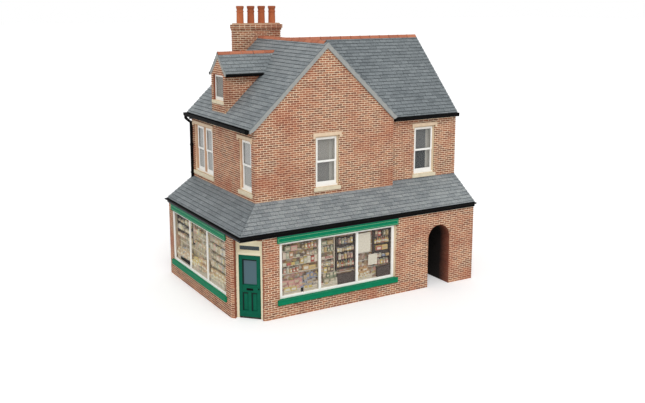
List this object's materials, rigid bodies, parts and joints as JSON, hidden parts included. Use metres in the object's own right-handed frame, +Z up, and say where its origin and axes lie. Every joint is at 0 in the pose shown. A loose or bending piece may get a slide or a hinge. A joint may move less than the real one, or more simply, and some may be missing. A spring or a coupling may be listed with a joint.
{
  "type": "corner shop building, scale model",
  "caption": "Scale model of a brick corner shop: shopfronts under a lean-to slate roof, door in the cut corner, arched passage, gabled roofs, dormer and chimney.",
  "frame": {"origin": "on the ground under the middle of the whole building's box, gutters included", "axes": "+X along the long shop front towards the passage, +Y from that front to the rear party wall, +Z up"},
  "size_m": [0.0808, 0.0554, 0.0842],
  "materials": {
    "brick": "moulded brick courses, painted mottled red-brown with pale joints",
    "floor": "plain unpainted resin",
    "slate": "moulded slate courses, painted matt blue-grey",
    "verge": "smooth pale grey paint",
    "terracotta": "matt terracotta paint",
    "stone": "smooth cream stone paint",
    "window_paint": "cream painted frames round glazed panes",
    "green_paint": "satin green paint",
    "black_trim": "satin black paint",
    "display_card": "printed card behind the glass"
  },
  "bodies": {
    "root": {"chimney_cap": "brick", "chimney_pots": "terracotta", "chimney_stack": "brick", "corner_wall": "brick", "cross_roof_front": "slate", "cross_roof_rear": "slate", "door_frame": "window_paint", "door_leaf": "green_paint", "door_step": "black_trim", "dormer_cheeks": "brick", "dormer_front_wall": "brick", "dormer_gutters": "black_trim", "dormer_ridge_tiles": "terracotta", "dormer_roof": "slate", "downpipe": "black_trim", "fascia_boards": "green_paint", "first_floor": "floor", "gable_verge": "verge", "gable_wall": "brick", "ground_front_wall": "brick", "ground_left_wall": "brick", "ground_rear_wall": "brick", "ground_right_wall": "brick", "lean_to_gutter": "black_trim", "lean_to_roof_front": "slate", "lean_to_roof_left": "slate", "main_gutter": "black_trim", "main_roof_left": "slate", "main_roof_right": "slate", "passage_left_wall": "brick", "passage_right_wall": "brick", "passage_vault": "brick", "ridge_tiles": "terracotta", "right_block_wall": "brick", "right_end_wall": "brick", "right_gutter": "black_trim", "sash_windows": "window_paint", "shop_windows": "window_paint", "stall_boards": "green_paint", "upper_left_wall": "brick", "upper_rear_wall": "brick", "window_displays": "display_card", "window_lintels": "stone", "window_sills": "stone"}
  },
  "joints": []
}
